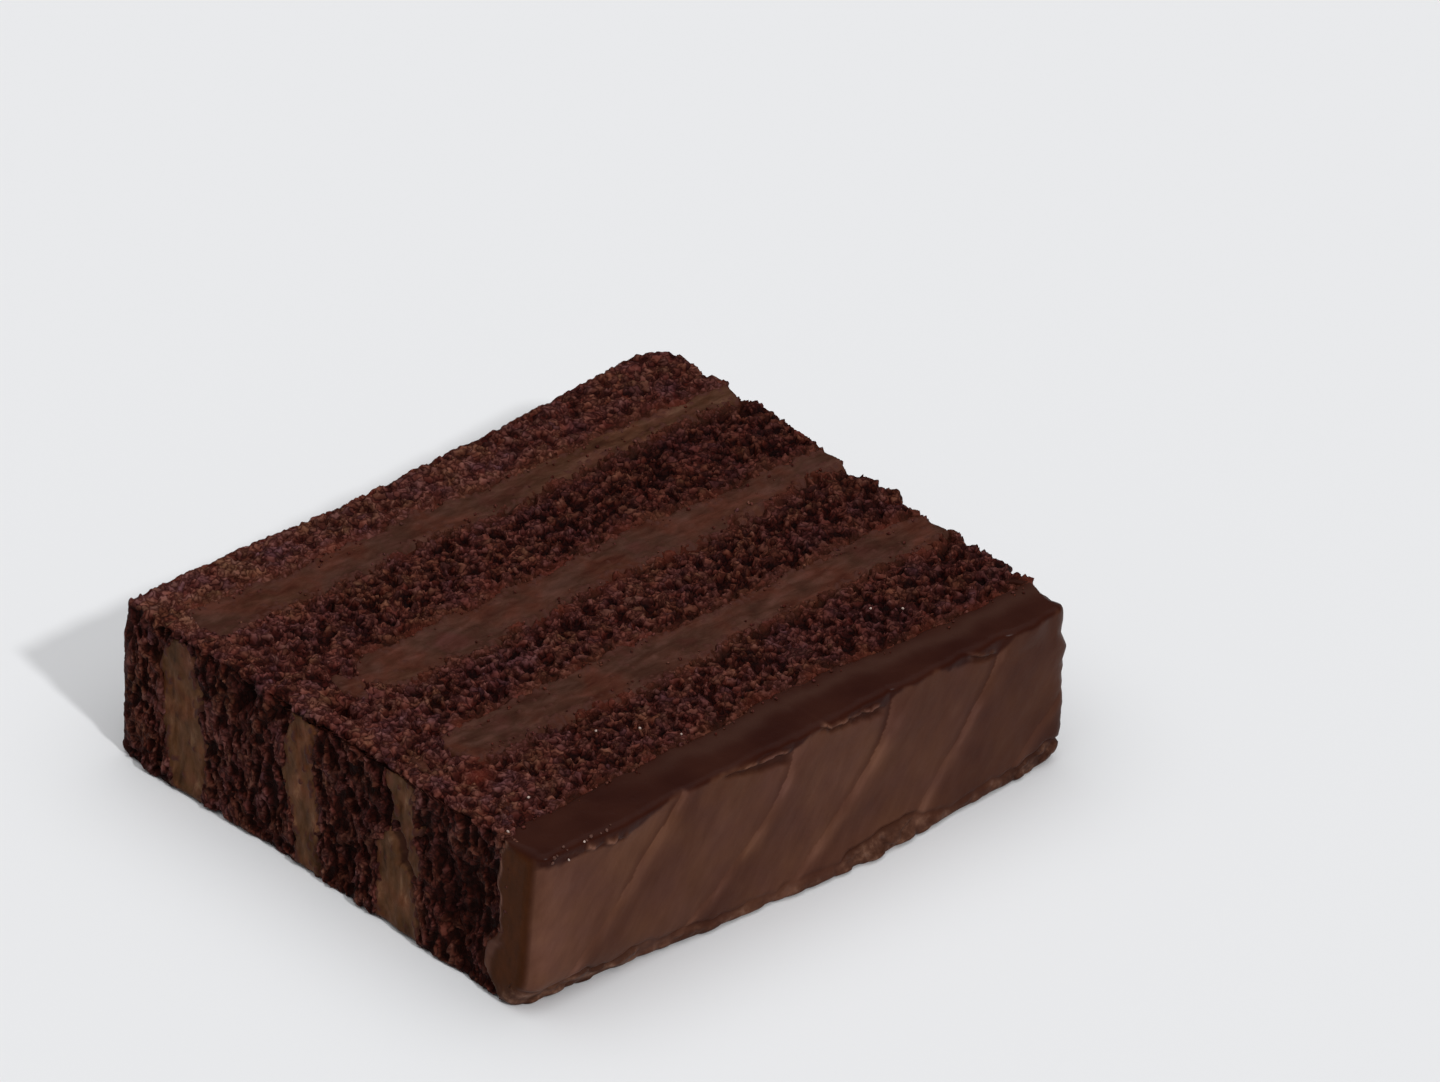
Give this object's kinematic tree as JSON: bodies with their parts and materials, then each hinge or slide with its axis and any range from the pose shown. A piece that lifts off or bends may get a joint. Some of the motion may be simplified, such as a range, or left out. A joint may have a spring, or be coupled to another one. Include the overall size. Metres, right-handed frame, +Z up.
{
  "type": "chocolate cake slice",
  "caption": "Flat rectangular slice of a tall layered chocolate cake lying on its cut side: dark sponge layers with fudge fillings and a thick fudge icing along one side.",
  "frame": {"origin": "middle of the slice's footprint, on the surface it lies on", "axes": "+X along the layers, +Y across the layers from the icing towards the cake's base, +Z up"},
  "size_m": [0.1056, 0.0932, 0.027],
  "materials": {
    "sponge": "matte open cake crumb, dark red-brown",
    "filling": "soft fudge, satin, knife-smeared",
    "icing": "satin fudge icing with spatula strokes, dark and glossy where cut"
  },
  "bodies": {
    "root": {"sponge_1": "sponge", "filling_1": "filling", "sponge_2": "sponge", "filling_2": "filling", "sponge_3": "sponge", "filling_3": "filling", "sponge_4": "sponge", "icing": "icing"}
  },
  "joints": []
}
